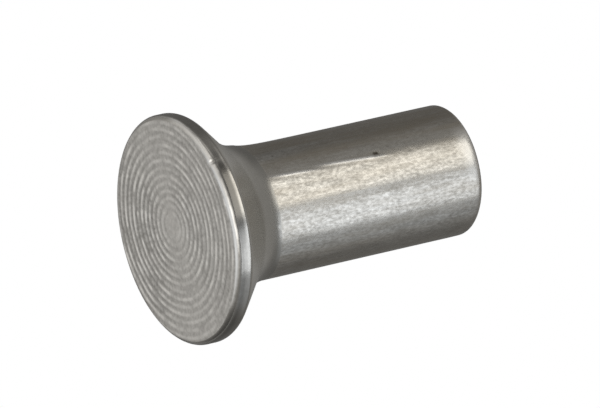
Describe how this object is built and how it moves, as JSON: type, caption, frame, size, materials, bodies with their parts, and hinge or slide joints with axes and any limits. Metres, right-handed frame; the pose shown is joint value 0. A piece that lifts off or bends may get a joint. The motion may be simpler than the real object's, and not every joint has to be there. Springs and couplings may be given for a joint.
{
  "type": "countersunk head rivet",
  "caption": "Solid steel rivet with a flat ring-turned countersunk head and a plain round shank, hammered over at its tail to join plates flush.",
  "frame": {"origin": "centre of the head's flat face, on which the rivet stands", "axes": "+Z along the shank from the head to the tail; the rivet is round about Z"},
  "size_m": [0.0088, 0.0086, 0.012],
  "materials": {
    "steel": "bare steel: turned rings on the face, drawn and lightly mottled on the shank"
  },
  "bodies": {
    "root": {"rivet": "steel"}
  },
  "joints": []
}
